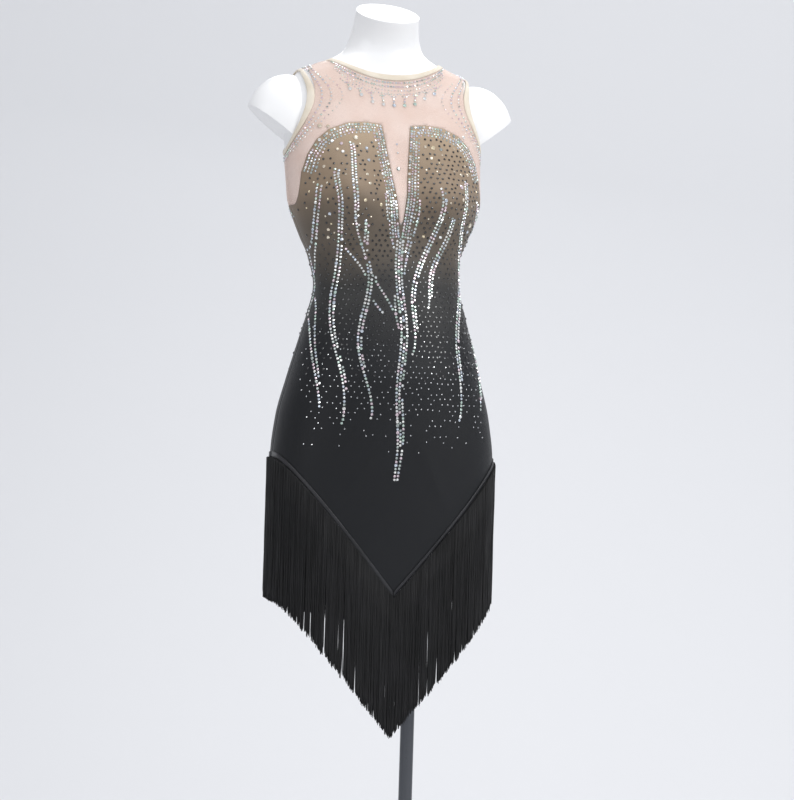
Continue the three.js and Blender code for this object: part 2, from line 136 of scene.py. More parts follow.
def thicken(piece, thickness, offset=-1.0):
    solid = piece.modifiers.new("wall", 'SOLIDIFY')
    solid.thickness = thickness * mm
    solid.offset = offset
    applyModifiers(piece)


def finishPiece(piece, material, slot, *nodes):
    piece.data.materials.clear()
    piece.data.materials.append(material)
    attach(piece, "root")
    if nodes:
        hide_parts(*nodes)
    return piece


# ---- camera: level, a little to the dress's right, turned slightly on its axis ----
view = {"distance": 4500, "turn": -18, "roll": 1.7, "height": 830, "aside": 22, "scale": 1.6}


def buildCamera():
    turn = math.radians(view["turn"])
    right = Vector((math.cos(turn), math.sin(turn), 0))
    away = Vector((math.sin(turn), -math.cos(turn), 0))
    place = away * view["distance"] + right * view["aside"] + Vector((trunk["x"], trunk["y"], view["height"]))
    data = bpy.data.cameras.new("camera")
    data.lens = view["distance"] / view["scale"] * 36 / 800
    data.clip_end = 50
    camera = bpy.data.objects.new("camera", data)
    bpy.context.collection.objects.link(camera)
    spin = Matrix.Rotation(math.radians(view["roll"]), 4, 'Z')
    camera.matrix_world = (Matrix.Translation(place * mm) @ Matrix.Rotation(turn, 4, 'Z')
                           @ Matrix.Rotation(math.pi / 2, 4, 'X') @ spin)
    bpy.context.scene.camera = camera


buildCamera()
print("camera")


# ---- shader groups shared by the finishes ----
def newGroup(name, inputs, outputs):
    group = bpy.data.node_groups.new(name, 'ShaderNodeTree')
    for label, value in inputs.items():
        socket = group.interface.new_socket(label, in_out='INPUT', socket_type='NodeSocketFloat')
        socket.default_value = value
    for label in outputs:
        group.interface.new_socket(label, in_out='OUTPUT', socket_type='NodeSocketFloat')
    return group, group.nodes.new('NodeGroupInput'), group.nodes.new('NodeGroupOutput')


def mathNode(tree, operation, *values):
    node = tree.nodes.new('ShaderNodeMath')
    node.operation = operation
    for i, value in enumerate(values):
        if isinstance(value, (int, float)):
            node.inputs[i].default_value = value
        else:
            tree.links.new(value, node.inputs[i])
    return node.outputs[0]


def buildWeaveGroup():
    group, given, out = newGroup("knitWeave", {"Scale": 900.0, "Mottle": 25.0}, ["Height", "Tone"])
    coords = group.nodes.new('ShaderNodeTexCoord')
    heights = []
    for direction in ('Z', 'DIAGONAL'):
        wave = group.nodes.new('ShaderNodeTexWave')
        wave.bands_direction = direction
        group.links.new(coords.outputs['Object'], wave.inputs['Vector'])
        group.links.new(given.outputs['Scale'], wave.inputs['Scale'])
        heights.append(wave.outputs['Fac'])
    cloud = group.nodes.new('ShaderNodeTexNoise')
    group.links.new(coords.outputs['Object'], cloud.inputs['Vector'])
    group.links.new(given.outputs['Mottle'], cloud.inputs['Scale'])
    group.links.new(mathNode(group, 'MULTIPLY', *heights), out.inputs['Height'])
    group.links.new(cloud.outputs['Fac'], out.inputs['Tone'])
    return group


def buildDustGroup():
    group, given, out = newGroup("fineWear", {"Scale": 60.0, "Low": 0.2, "High": 0.35}, ["Rough", "Height"])
    coords = group.nodes.new('ShaderNodeTexCoord')
    cloud = group.nodes.new('ShaderNodeTexNoise')
    cloud.inputs['Detail'].default_value = 6
    group.links.new(coords.outputs['Object'], cloud.inputs['Vector'])
    group.links.new(given.outputs['Scale'], cloud.inputs['Scale'])
    spread = mathNode(group, 'SUBTRACT', given.outputs['High'], given.outputs['Low'])
    rough = mathNode(group, 'MULTIPLY_ADD', cloud.outputs['Fac'], spread, given.outputs['Low'])
    group.links.new(rough, out.inputs['Rough'])
    group.links.new(cloud.outputs['Fac'], out.inputs['Height'])
    return group


weaveGroup = buildWeaveGroup()
dustGroup = buildDustGroup()


def newMaterial(name, **sockets):
    material = bpy.data.materials.new(name)
    material.use_nodes = True
    shader = material.node_tree.nodes['Principled BSDF']
    for label, value in sockets.items():
        shader.inputs[label.replace('_', ' ')].default_value = value
    return material, material.node_tree, shader


def addBump(tree, shader, height, strength, distance):
    bump = tree.nodes.new('ShaderNodeBump')
    bump.inputs['Strength'].default_value = strength
    bump.inputs['Distance'].default_value = distance
    tree.links.new(height, bump.inputs['Height'])
    tree.links.new(bump.outputs['Normal'], shader.inputs['Normal'])


def toneRamp(tree, value, stops):
    ramp = tree.nodes.new('ShaderNodeValToRGB')
    ramp.color_ramp.interpolation = 'EASE'
    elements = ramp.color_ramp.elements
    while len(elements) < len(stops):
        elements.new(0.5)
    for element, (place, color) in zip(elements, stops):
        element.position = place
        element.color = (*color, 1)
    tree.links.new(value, ramp.inputs['Fac'])
    return ramp.outputs['Color']


def groupIn(tree, group, **values):
    node = tree.nodes.new('ShaderNodeGroup')
    node.node_tree = group
    for label, value in values.items():
        node.inputs[label].default_value = value
    return node


def clothMaterial(name, dark, light, roughness, sheen, scale, bump=0.25):
    material, tree, shader = newMaterial(name, Roughness=roughness, Sheen_Weight=sheen, Sheen_Roughness=0.4)
    weave = groupIn(tree, weaveGroup, Scale=scale)
    color = toneRamp(tree, weave.outputs['Tone'], [(0.3, dark), (0.7, light)])
    tree.links.new(color, shader.inputs['Base Color'])
    addBump(tree, shader, weave.outputs['Height'], bump, 0.0004)
    return material


def ombreMaterial():
    material, tree, shader = newMaterial("ombreLycra", Roughness=0.46, Sheen_Weight=0.04, Sheen_Roughness=0.4,
                                         Specular_IOR_Level=0.3)
    coords = tree.nodes.new('ShaderNodeTexCoord')
    split = tree.nodes.new('ShaderNodeSeparateXYZ')
    weave = groupIn(tree, weaveGroup, Scale=700.0, Mottle=9.0)
    tree.links.new(coords.outputs['Object'], split.inputs[0])
    drift = mathNode(tree, 'MULTIPLY', mathNode(tree, 'SUBTRACT', weave.outputs['Tone'], 0.5), 0.07)
    height = mathNode(tree, 'ADD', split.outputs['Z'], drift)
    share = mathNode(tree, 'MULTIPLY_ADD', height, 1 / 0.5, -0.8 / 0.5)  # 0.80 m to 1.30 m
    color = toneRamp(tree, share, [
        (0.0, (0.004, 0.0048, 0.0066)), (0.2, (0.006, 0.007, 0.009)), (0.4, (0.03, 0.03, 0.029)),
        (0.58, (0.12, 0.097, 0.074)), (0.76, (0.27, 0.20, 0.137)), (1.0, (0.46, 0.35, 0.24))])
    tree.links.new(color, shader.inputs['Base Color'])
    addBump(tree, shader, weave.outputs['Height'], 0.25, 0.0004)
    return material


def netMaterial():
    material, tree, shader = newMaterial("nudeNet", Roughness=0.65, Sheen_Weight=0.1, Sheen_Roughness=0.5)
    weave = groupIn(tree, weaveGroup, Scale=1100.0)
    color = toneRamp(tree, weave.outputs['Tone'], [(0.3, (0.86, 0.67, 0.58)), (0.7, (0.91, 0.74, 0.66))])
    tree.links.new(color, shader.inputs['Base Color'])
    cover = mathNode(tree, 'MULTIPLY_ADD', weave.outputs['Height'], 0.4, 0.42)
    tree.links.new(cover, shader.inputs['Alpha'])
    addBump(tree, shader, weave.outputs['Height'], 0.2, 0.0003)
    return material


def hardMaterial(name, color, low, high, metallic=0.0, coat=0.0, bump=0.03, scale=60.0):
    material, tree, shader = newMaterial(name, Base_Color=(*color, 1), Metallic=metallic, Coat_Weight=coat)
    wear = groupIn(tree, dustGroup, Scale=scale, Low=low, High=high)
    tree.links.new(wear.outputs['Rough'], shader.inputs['Roughness'])
    addBump(tree, shader, wear.outputs['Height'], bump, 0.0006)
    return material


def stoneMaterial(name, metallic, roughness):
    material, tree, shader = newMaterial(name, Metallic=metallic, Specular_IOR_Level=0.9, Coat_Weight=0.6)
    tint = tree.nodes.new('ShaderNodeAttribute')
    tint.attribute_name = "tint"
    wear = groupIn(tree, dustGroup, Scale=300.0, Low=roughness, High=roughness + 0.12)
    tree.links.new(tint.outputs['Color'], shader.inputs['Base Color'])
    tree.links.new(wear.outputs['Rough'], shader.inputs['Roughness'])
    return material


finishes = {
    "net": netMaterial(),
    "ombre": ombreMaterial(),
    "binding": clothMaterial("bindingKnit", (0.70, 0.62, 0.50), (0.80, 0.73, 0.62), 0.6, 0.2, 1000.0),
    "satin": clothMaterial("headerSatin", (0.006, 0.006, 0.008), (0.014, 0.014, 0.017), 0.32, 0.1, 500.0),
    "fringe": clothMaterial("fringeBlack", (0.002, 0.002, 0.0026), (0.005, 0.005, 0.006), 0.7, 0.02, 1500.0),
    "form": hardMaterial("formWhite", (0.88, 0.88, 0.88), 0.28, 0.36, coat=0.3, scale=8.0),
    "pole": hardMaterial("poleSteel", (0.10, 0.105, 0.115), 0.12, 0.22, metallic=1.0, scale=90.0),
    "base": hardMaterial("baseSteel", (0.42, 0.43, 0.44), 0.22, 0.36, metallic=1.0, scale=40.0),
    "crystal": stoneMaterial("crystal", 0.75, 0.04),
    "jet": stoneMaterial("jetStone", 0.15, 0.08),
}
print("materials")


# ---- outlines in front view, and how far a point lies inside them ----
def mirrored(half):
    return half + [(-x, z) for x, z in reversed(half) if x > 0]


def insideOutline(outline, x, z):
    points = np.array(outline, float)
    nearest = np.full(np.shape(x), 1e9)
    inside = np.zeros(np.shape(x), bool)
    for (ax, az), (bx, bz) in zip(points, np.roll(points, -1, axis=0)):
        dx, dz = bx - ax, bz - az
        t = np.clip(((x - ax) * dx + (z - az) * dz) / (dx * dx + dz * dz), 0, 1)
        nearest = np.minimum(nearest, np.hypot(x - ax - t * dx, z - az - t * dz))
        if dz != 0:
            crosses = (az > z) != (bz > z)
            inside ^= crosses & (x < ax + (z - az) * dx / dz)
    return np.where(inside, nearest, -nearest)


def frontHemAt(x):
    return hem["frontTip"] + (hem["side"] - hem["frontTip"]) * np.abs(x) / hem["halfWidth"]


def backHemAt(x):
    return hem["backTip"] + (hem["side"] - hem["backTip"]) * (np.abs(x) / hem["halfWidth"]) ** 2


def neckAt(x, side):
    ratio = np.minimum(np.abs(x) / neck["halfWidth"], 1)
    if side > 0:
        return neck["front"] + (neck["point"] - neck["front"]) * ratio ** neck["flare"]
    return neck["rear"] + (neck["point"] - neck["rear"]) * ratio ** 2


def neckBandAt(x, side):
    ratio = np.minimum(np.abs(x) / neck["halfWidth"], 1)
    return neckAt(x, side) - neck["band"] - (neck["bandAtPoint"] - neck["band"]) * ratio ** 2


frontBodyOutline = mirrored(cupEdge + [(260, 1135), (260, 400), (0, 400)])
scoopEdge = [(scoop["halfWidth"] * t, scoop["centre"] + (scoop["side"] - scoop["centre"])
              * (1 - math.cos(math.pi * t)) / 2) for t in np.linspace(0, 1, 9)]
backBodyOutline = mirrored(scoopEdge + [(260, 1135), (260, 400), (0, 400)])


def armholeGap(p):
    y, z = p[..., 1] - armhole["y"], p[..., 2] - armhole["z"]
    across = np.where(y > 0, armhole["rear"], armhole["front"])
    along = np.where(z > 0, armhole["up"], armhole["down"])
    gap = (np.hypot(y / across, z / along) - 1) * 0.5 * (across + along) * 0.9
    return np.where(np.abs(p[..., 0]) > 60, gap, 99.0)


def keyholeGap(p):
    x, z = np.abs(p[..., 0]), p[..., 2]
    drop = np.where(z > keyhole["widest"], keyhole["rise"], keyhole["widest"] - keyhole["bottom"])
    taper = np.clip(1 - np.abs((z - keyhole["widest"]) / drop) ** 2, 0, 1) ** 0.5
    half = np.where(z > keyhole["widest"], keyhole["slit"], 0) + keyhole["halfWidth"] * taper
    return np.where(z < keyhole["bottom"] - 30, 99.0, np.where(z > keyhole["bottom"] - 1, x - half,
                    np.hypot(x, z - keyhole["bottom"])))


# A panel is a fine grid cut to the places where its measure is positive, its edge moved onto the cut.
def panel(name, measure, side, low, high, lift, columns=120, step=5.0):
    first = -math.pi / 2 if side > 0 else math.pi / 2
    angles = first + np.linspace(0, math.pi, columns + 1)
    levels = np.arange(low, high + step, step)
    angle, z = np.meshgrid(angles, levels)
    centreAngle = (angle[:-1, :-1] + angle[1:, 1:]) / 2
    centreZ = (z[:-1, :-1] + z[1:, 1:]) / 2
    kept = measure(skin(centreAngle, centreZ)) > 0
    around = np.zeros(angle.shape, int)
    for dr in (0, 1):
        for dc in (0, 1):
            around[dr:dr + kept.shape[0], dc:dc + kept.shape[1]] += kept
    full = np.full(angle.shape, 4)
    full[:, [0, -1]] = 2
    edge = (around > 0) & (around < full)
    a, h = angle[edge], z[edge]
    onSide = (np.isclose(a, angles[0]) | np.isclose(a, angles[-1]))
    a0, h0 = a.copy(), h.copy()
    for _ in range(6):
        value = measure(skin(a, h))
        slopeA = (measure(skin(a + 0.004, h)) - measure(skin(a - 0.004, h))) / 1.2  # 150 mm radius
        slopeZ = (measure(skin(a, h + 0.6)) - measure(skin(a, h - 0.6))) / 1.2
        slopeA = np.where(onSide, 0, slopeA)
        size = np.maximum(slopeA ** 2 + slopeZ ** 2, 0.15)
        a = np.clip(a - value * slopeA / size / 150, a0 - 0.035, a0 + 0.035)
        h = np.clip(h - value * slopeZ / size, h0 - step * 1.1, h0 + step * 1.1)
    angle[edge], z[edge] = a, h
    points = lifted(angle, z, np.full(angle.shape, lift)).reshape(-1, 3)
    count = angle.shape[1]
    used, faces = {}, []
    for row, column in np.argwhere(kept):
        corners = [row * count + column, row * count + column + 1,
                   (row + 1) * count + column + 1, (row + 1) * count + column]
        faces.append([used.setdefault(int(corner), len(used)) for corner in corners])
    return meshObject(name, points[list(used)], faces)


# Soft pulls that cross the waist and fan out from the underarms: x, z, width, length, lean.
pulls = [(-70, 1030, 9, 60, 0.5), (65, 1022, 8, 55, -0.4), (-20, 1000, 7, 70, 0.2),
         (95, 1060, 8, 45, -0.9), (-105, 1075, 8, 45, 0.9), (30, 905, 10, 80, 0.15),
         (-60, 720, 11, 90, 1.1), (60, 700, 11, 90, -1.1)]


def drapeCreases(piece, amount):
    mesh = piece.data
    for vertex in mesh.vertices:
        x = vertex.co.x / mm - trunk["x"]
        z = vertex.co.z / mm
        push = 0.0
        for px, pz, width, length, lean in pulls:
            along = ((x - px) * math.cos(lean) + (z - pz) * math.sin(lean)) / length
            across = ((z - pz) * math.cos(lean) - (x - px) * math.sin(lean)) / width
            push += math.exp(-along * along - across * across)
        vertex.co += vertex.normal * amount * mm * push


def buildPanels():
    bodyFront = panel("front_body_cloth", lambda p: np.minimum(
        insideOutline(frontBodyOutline, p[..., 0], p[..., 2]), (p[..., 2] - frontHemAt(p[..., 0])) * 0.64),
        1, 510, 1275, 0.0, 140, 5.0)
    bodyBack = panel("back_body_cloth", lambda p: np.minimum(
        insideOutline(backBodyOutline, p[..., 0], p[..., 2]), p[..., 2] - backHemAt(p[..., 0])),
        -1, 680, 1140, 0.0, 120, 5.0)
    yokeFront = panel("front_yoke_net", lambda p: np.minimum.reduce([
        -insideOutline(frontBodyOutline, p[..., 0], p[..., 2]) - 0.3, p[..., 2] - 1080,
        neckBandAt(p[..., 0], 1) - p[..., 2] - 0.3, armholeGap(p) - armhole["band"] - 0.3]),
        1, 1080, 1385, -0.1, 150, 4.0)
    yokeBack = panel("back_yoke_net", lambda p: np.minimum.reduce([
        -insideOutline(backBodyOutline, p[..., 0], p[..., 2]) - 0.3, p[..., 2] - 980,
        neckBandAt(p[..., 0], -1) - p[..., 2] - 0.3, armholeGap(p) - armhole["band"] - 0.3,
        keyholeGap(p) - keyhole["band"] * 0.8]), -1, 1000, 1385, -0.1, 150, 4.0)
    for piece, finish, slot, node, flat, area in (
            (bodyFront, "ombre", "ombre_lycra", "front_body", (0.46, 0.73), 0.24),
            (bodyBack, "ombre", "ombre_lycra", "back_body", (0.46, 0.43), 0.145),
            (yokeFront, "net", "nude_mesh", "front_yoke", (0.42, 0.30), 0.05),
            (yokeBack, "net", "nude_mesh", "back_yoke", (0.42, 0.38), 0.1)):
        if finish == "ombre":
            drapeCreases(piece, 0.9)
        thicken(piece, 1.0)
        finishPiece(piece, finishes[finish], slot, node)


# ---- bindings: rounded bands swept along an edge given by points and outward directions ----
def sweepBand(name, rows, closed=True):
    count, sides = len(rows[0]), len(rows)
    points = [p for row in rows for p in row]
    faces = []
    last = count if closed else count - 1
    for i in range(sides):
        j = (i + 1) % sides
        for k in range(last):
            m = (k + 1) % count
            faces.append((i * count + k, i * count + m, j * count + m, j * count + k))
    if not closed:
        faces.append([i * count for i in range(sides)])
        faces.append([i * count + count - 1 for i in reversed(range(sides))])
    piece = meshObject(name, points, faces)
    bm = bmesh.new()
    bm.from_mesh(piece.data)
    bmesh.ops.recalc_face_normals(bm, faces=bm.faces)
    bm.to_mesh(piece.data)
    bm.free()
    return piece


bandProfile = [(0.0, -1.1), (0.0, 0.5), (0.12, 1.0), (0.5, 1.1), (0.88, 1.0), (1.0, 0.5), (1.0, -1.1)]


def buildNeckBinding():
    half = neck["halfWidth"]
    front = [(half * math.sin(t), 1) for t in np.linspace(-math.pi / 2, math.pi / 2, 49)]
    back = [(half * math.sin(t), -1) for t in np.linspace(math.pi / 2, -math.pi / 2, 49)[1:-1]]
    start = len(front) + len(back) // 2
    ring = front + back
    ring = ring[start + 1:] + ring[:start]
    rows = []
    for share, lift in bandProfile:
        row = []
        for x, side in ring:
            upper, lower = neckAt(x, side), neckBandAt(x, side)
            ratio = abs(x) / half
            level = upper + (lower - upper) * share
            wide = x * (1 + 0.075 * share * ratio ** 4)
            angle = float(angleOf(np.array(wide), np.array(level), side))
            row.append(lifted(angle, level, lift))
        rows.append(row)
    piece = sweepBand("neck_binding_band", rows, closed=False)
    finishPiece(piece, finishes["binding"], "binding", "neck_binding")


# Angle of the skin point whose side view is (y, z), on the left side.
def sideAngle(y, z):
    low, high = 0.0, math.pi
    for _ in range(24):
        middle = (low + high) / 2
        if skin(middle, z)[1] < y:
            low = middle
        else:
            high = middle
    return (low + high) / 2


# Side view (y, z) of the point at one turn round the armhole, grown outwards.
def armholePoint(turn, grow):
    c, s = math.cos(turn), math.sin(turn)
    y = armhole["y"] + ((armhole["rear"] if c > 0 else armhole["front"]) + grow) * c
    rise = grow * (0.6 if s > 0 else 1)
    z = armhole["z"] + ((armhole["up"] if s > 0 else armhole["down"]) + rise) * s
    return y, z


def armholeRing(grow, lift, sign, count=72):
    row = []
    for k in range(count):
        y, z = armholePoint(2 * math.pi * k / count, grow)
        row.append(lifted(sign * sideAngle(y, z), z, lift))
    return row


def buildArmholeBindings():
    for suffix, sign in (("left", 1), ("right", -1)):
        rows = [armholeRing(armhole["band"] * share, lift, sign) for share, lift in bandProfile]
        piece = sweepBand("armhole_band_" + suffix, rows)
        finishPiece(piece, finishes["binding"], "binding", "armhole_binding_" + suffix)


def buildKeyholeBinding():
    rows = []
    turns = np.linspace(0, math.pi, 25)
    for share, lift in bandProfile:
        grow = keyhole["band"] * share
        half = []
        for t in turns:  # from the top of the slit round the bottom
            reach = keyhole["bandRise"] if t < math.pi / 2 else keyhole["bandDrop"] + grow
            z = keyhole["widest"] + reach * math.cos(t)
            x = (keyhole["halfWidth"] + grow) * math.sin(t) ** keyhole["roundness"]
            half.append((max(x, keyhole["slit"] + grow if t < math.pi / 2 else 0), z))
        path = half[:-1] + [(0, half[-1][1])] + [(-x, z) for x, z in reversed(half[:-1])]
        rows.append([lifted(float(angleOf(np.array(x), np.array(z), -1)), z, lift) for x, z in path])
    piece = sweepBand("keyhole_band", rows, closed=False)
    finishPiece(piece, finishes["binding"], "binding", "keyhole_binding")


# ---- fringe ----
fringe = {"length": 220, "spacing": 1.25, "layers": 3, "radius": 0.75, "tip": 1.15, "header": 9}


def hemRun(side, sign, count):
    hemAt = frontHemAt if side > 0 else backHemAt
    x = np.linspace(0, hem["halfWidth"], count)
    z = hemAt(x)
    angle = angleOf(x, z, 1)
    angle[-1] = math.pi / 2
    angle = sign * (angle if side > 0 else math.pi - angle)
    flat = skinNormal(angle, z)
    flat[:, 2] = 0
    flat /= np.linalg.norm(flat, axis=1, keepdims=True)
    return skin(angle, z), flat, z


def buildHeader(name, side, sign):
    top, _, z = hemRun(side, sign, 60)
    rows = []
    for share, lift in ((0.0, 0.4), (0.0, 1.5), (0.15, 2.0), (0.5, 1.7), (0.85, 2.0), (1.0, 1.5), (1.0, 0.4)):
        level = z + fringe["header"] * share
        x = np.clip(np.abs(top[:, 0]), 0.15, None)
        around = angleOf(x, level, 1)
        around[-1] = math.pi / 2
        around = sign * (around if side > 0 else math.pi - around)
        rows.append(list(lifted(around, level, np.full(len(level), lift))))
    piece = sweepBand(name + "_tape", rows, closed=False)
    finishPiece(piece, finishes["satin"], "header_satin", name)


def buildFringe(name, side, sign):
    top, flat, _ = hemRun(side, sign, 400)
    run = np.concatenate([[0], np.cumsum(np.linalg.norm(np.diff(top, axis=0), axis=1))])
    total = run[-1]
    points, faces = [], []
    shares = (0.0, 0.25, 0.55, 0.8, 0.97, 1.0)
    clump = [(dice.uniform(0, total), dice.uniform(-1, 1)) for _ in range(int(total / 7))]
    for layer in range(fringe["layers"]):
        count = int(total / fringe["spacing"])
        for k in range(count):
            place = (k + dice.random()) * total / count
            root = np.array([np.interp(place, run, top[:, axis]) for axis in range(3)])
            out = np.array([np.interp(place, run, flat[:, axis]) for axis in range(3)])
            along = np.array([-out[1], out[0], 0]) * (1 if sign * side > 0 else -1)
            near = min(clump, key=lambda c: abs(c[0] - place))
            pull = (near[0] - place) * 0.16
            sway = dice.gauss(0, 1.1) + near[1] * 1.6
            length = fringe["length"] * dice.choice((0.97, 0.99, 1.0, 1.0, 1.01, 0.93 + 0.07 * dice.random()))
            depth = 2.0 + layer * 1.2 + dice.uniform(-0.3, 0.3)
            wave = dice.uniform(0, 6.28)
            base = len(points)
            for share in shares:
                slide = (pull * share ** 2 + sway * share ** 1.5 + 0.5 * math.sin(wave + share * 9) * share)
                slide = min(max(slide, -place), total - place)
                centre = root + out * (depth + 0.4 * math.sin(wave + 7 * share)) + along * slide
                centre = centre - np.array([0, 0, 0.2 + length * share])
                radius = fringe["radius"] * (0.7 if share == 1.0 else 1.0)
                radius *= fringe["tip"] if share > 0.9 else 1.0
                for corner in range(3):
                    turn = wave + corner * 2.0944
                    points.append(centre + radius * (along * math.cos(turn) + out * math.sin(turn)))
            for ring in range(len(shares) - 1):
                for corner in range(3):
                    a, b = base + ring * 3 + corner, base + ring * 3 + (corner + 1) % 3
                    faces.append((a, b, b + 3, a + 3))
            faces.append((base + 2, base + 1, base))
            end = base + (len(shares) - 1) * 3
            faces.append((end, end + 1, end + 2))
    piece = meshObject(name + "_strands", points, faces)
    bm = bmesh.new()
    bm.from_mesh(piece.data)
    bmesh.ops.recalc_face_normals(bm, faces=bm.faces)
    bm.to_mesh(piece.data)
    bm.free()
    finishPiece(piece, finishes["fringe"], "fringe_black", name)


# ---- the white form ----
form = {"lift": -2.2, "seat": 790, "bottom": 620, "tuck": 0.7,
        "neckFoot": 1400, "neckTop": 1453, "neckTilt": 0.45, "neckY": 38}
cap = {"x": 158, "y": 56, "z": 1270, "rx": 68, "ry": 39.5, "rz": 75.5,
       "cutX": 145, "cutZ": 1238, "slope": 0.72}


def buildForm():
    levels = np.concatenate([np.linspace(form["bottom"], 1300, 110), np.linspace(1306, form["neckTop"], 40)])
    angles = np.linspace(0, 2 * math.pi, 144, endpoint=False)
    angle, z = np.meshgrid(angles, levels)
    p = lifted(angle, z, np.full(angle.shape, form["lift"]))
    t = np.clip((form["seat"] - z) / (form["seat"] - form["bottom"]), 0, 1)
    scale = np.sqrt(1 - form["tuck"] * t * t)
    p[..., 0] *= scale
    p[..., 1] *= scale
    share = (z - form["neckFoot"]) / (form["neckTop"] - form["neckFoot"])
    tilt = np.clip(share, 0, 1) * form["neckTilt"] * (p[..., 1] - form["neckY"])
    p[..., 2] = np.where(z > form["neckFoot"], z + tilt, np.where(z < form["seat"], z, p[..., 2]))
    count = len(angles)
    faces = []
    for row in range(len(levels) - 1):
        for k in range(count):
            m = (k + 1) % count
            faces.append((row * count + k, row * count + m, (row + 1) * count + m, (row + 1) * count + k))
    top = (len(levels) - 1) * count
    faces.append([k for k in reversed(range(count))])
    faces.append([top + k for k in range(count)])
    body = meshObject("smooth_form", p.reshape(-1, 3), faces)
    for side in (1, -1):
        place = toFrame([side * cap["x"], cap["y"], cap["z"]])
        bpy.ops.mesh.primitive_uv_sphere_add(segments=64, ring_count=40, radius=1, location=(0, 0, 0))
        dome = bpy.context.object
        dome.data.transform(Matrix.Translation(place) @ Matrix.Diagonal(
            (cap["rx"] * mm, cap["ry"] * mm, cap["rz"] * mm, 1)))
        cutPlace = toFrame([side * cap["cutX"], cap["y"], cap["cutZ"]])
        bpy.ops.object.mode_set(mode='EDIT')
        bpy.ops.mesh.select_all(action='SELECT')
        bpy.ops.mesh.bisect(plane_co=tuple(cutPlace), plane_no=(-side * cap["slope"], 0, 1),
                            use_fill=True, clear_inner=True)
        bpy.ops.object.mode_set(mode='OBJECT')
        edge = dome.modifiers.new("edge", 'BEVEL')
        edge.width = 2.5 * mm
        edge.segments = 3
        edge.angle_limit = math.radians(35)
        applyModifiers(dome)
        join = body.modifiers.new("join", 'BOOLEAN')
        join.operation = 'UNION'
        join.object = dome
        applyModifiers(body)
        bpy.data.objects.remove(dome)
    edge = body.modifiers.new("edge", 'BEVEL')
    edge.width = 1.2 * mm
    edge.segments = 2
    edge.angle_limit = math.radians(50)
    applyModifiers(body)
    body.select_set(True)
    bpy.context.view_layer.objects.active = body
    bpy.ops.object.shade_smooth_by_angle(angle=math.radians(30))
    body.select_set(False)
    finishPiece(body, finishes["form"], "form_white", "dress_form")


# ---- stones ----
stoneSizes = {"jet": 2.0, "tiny": 1.1, "small": 1.7, "stream": 2.25, "wide": 2.9, "big": 4.1, "drop": 3.2}
tints = {
    "clear": [(0.86, 0.88, 0.87), (0.62, 0.76, 0.68), (0.80, 0.66, 0.72),
              (0.66, 0.72, 0.80), (0.90, 0.90, 0.87), (0.45, 0.50, 0.48)],
    "gold": [(0.86, 0.74, 0.52), (0.80, 0.70, 0.56), (0.90, 0.82, 0.66)],
    "silver": [(0.62, 0.64, 0.66), (0.74, 0.75, 0.76)],
    "jet": [(0.006, 0.006, 0.008), (0.012, 0.011, 0.013)],
}
stones = {"crystal": [], "edge": [], "jet": [], "dust": []}
taken = {}


def place(group, x, z, side, size, tint, spread=2.05):
    angle = float(angleOf(np.array(float(x)), np.array(float(z)), side))
    p = skin(angle, z)
    cell = tuple(int(math.floor(v / 8)) for v in p)
    radius = stoneSizes[size]
    for dx in (-1, 0, 1):
        for dy in (-1, 0, 1):
            for dz in (-1, 0, 1):
                for q, r in taken.get((cell[0] + dx, cell[1] + dy, cell[2] + dz), ()):
                    if np.linalg.norm(p - q) < (radius + r) * spread / 2:
                        return False
    taken.setdefault(cell, []).append((p, radius))
    stones[group].append((angle, z, radius, dice.choice(tints[tint])))
    return True


def rowAlong(points, gap, group, side, size, tint, big=0.0):
    # points is a line in front view; stones are set along it at an even gap
    line = np.array(points, float)
    angle = angleOf(line[:, 0], line[:, 1], side)
    solid = skin(angle, line[:, 1])
    run = np.concatenate([[0], np.cumsum(np.linalg.norm(np.diff(solid, axis=0), axis=1))])
    for k in range(int(run[-1] / gap) + 1):
        s = k * gap + dice.uniform(-0.3, 0.3)
        x, z = np.interp(s, run, line[:, 0]), np.interp(s, run, line[:, 1])
        chosen = "wide" if dice.random() < big else size
        place(group, x, z, side, chosen, tint)


def layGarland(side):
    for drop, size in ((4, "small"), (10.5, "small"), (17, "tiny"), (23, "tiny")):
        reach = 0.98 if drop < 8 else 0.9
        line = []
        for t in np.linspace(-reach * 1.45, reach * 1.45, 60):
            level = neckBandAt(neck["halfWidth"] * math.sin(t), side)
            fall = drop * (1 - 0.5 * math.sin(t) ** 4)
            line.append((neck["halfWidth"] * 1.06 * math.sin(t), level - fall))
        rowAlong(line, 4.6 if drop < 12 else 5.4, "edge", side, size, "clear")
    pendants = 9 if side > 0 else 5
    for k in range(pendants):
        t = (k - (pendants - 1) / 2) / (pendants / 2)
        x = 84 * t
        z = float(neckBandAt(x, side)) - 27
        length = 3 - int(abs(t) * 2)
        for j in range(length):
            place("edge", x * (1 - 0.02 * j), z - 4.2 * j, side, "small", "clear")
        place("crystal", x * 0.95, z - 4.2 * length - 1.5, side, "drop", "clear")
        for sign in (-1, 1):
            for j in range(3):
                place("edge", x + sign * (3.5 + 3.4 * j), z + 2.8 * j, side, "tiny", "clear")


def layArmholes():
    for sign in (1, -1):
        for grow, size in ((10.5, "small"), (15.0, "small"), (19.0, "tiny")):
            count = int(2 * math.pi * 62 / 4.6)
            for k in range(count):
                turn = 2 * math.pi * (k + 0.5 * (grow > 12)) / count
                c, s = math.cos(turn), math.sin(turn)
                if grow > 16 and (c > -0.2 or abs(s) > 0.8):
                    continue
                y, z = armholePoint(turn, grow)
                angle = sign * sideAngle(y, z)
                stones["edge"].append((angle, z, stoneSizes[size], dice.choice(tints["clear"])))


